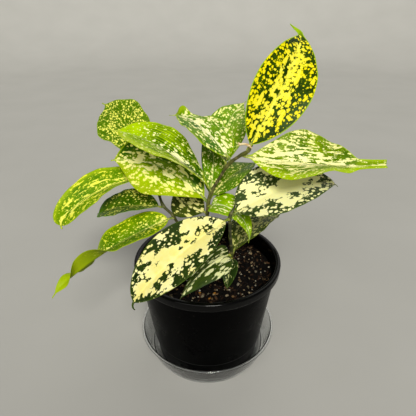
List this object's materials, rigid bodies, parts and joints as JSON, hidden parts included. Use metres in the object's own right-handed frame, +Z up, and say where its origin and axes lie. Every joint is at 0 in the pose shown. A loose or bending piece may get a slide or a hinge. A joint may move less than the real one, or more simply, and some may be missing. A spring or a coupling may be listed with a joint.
{
  "type": "potted gold dust dracaena",
  "caption": "Speckled dracaena with broad pointed leaves on thin canes, in a black nursery pot on a clear saucer.",
  "frame": {"origin": "centre of the saucer's flat underside, on the pot's axis", "axes": "+Z up along the pot's axis; -Y faces the side seen in the picture; +X to the right seen from there"},
  "size_m": [0.3296, 0.2141, 0.3447],
  "materials": {
    "leaf": "satin, dark green with cream and lime specks",
    "cane": "smooth, olive brown with paler nodes",
    "soil": "loose, dark potting mix with bark and perlite",
    "pot": "satin black",
    "saucer": "clear, glossy"
  },
  "bodies": {
    "root": {"leaf_top": "leaf", "leaf_right": "leaf", "leaf_right_low": "leaf", "leaf_right_under": "leaf", "leaf_front": "leaf", "leaf_left_large": "leaf", "leaf_left_upper": "leaf", "leaf_left_drooping": "leaf", "leaf_left_small": "leaf", "leaf_left_inner": "leaf", "leaf_left_long": "leaf", "leaf_back_left": "leaf", "leaf_back_cream": "leaf", "leaf_back_tall": "leaf", "leaf_back_dark": "leaf", "leaf_back_right": "leaf", "leaf_young": "leaf", "leaf_low_folded": "leaf", "leaf_low_curled": "leaf", "cane_main": "cane", "cane_front": "cane", "cane_left": "cane", "soil": "soil", "pot": "pot", "saucer": "saucer"}
  },
  "joints": []
}
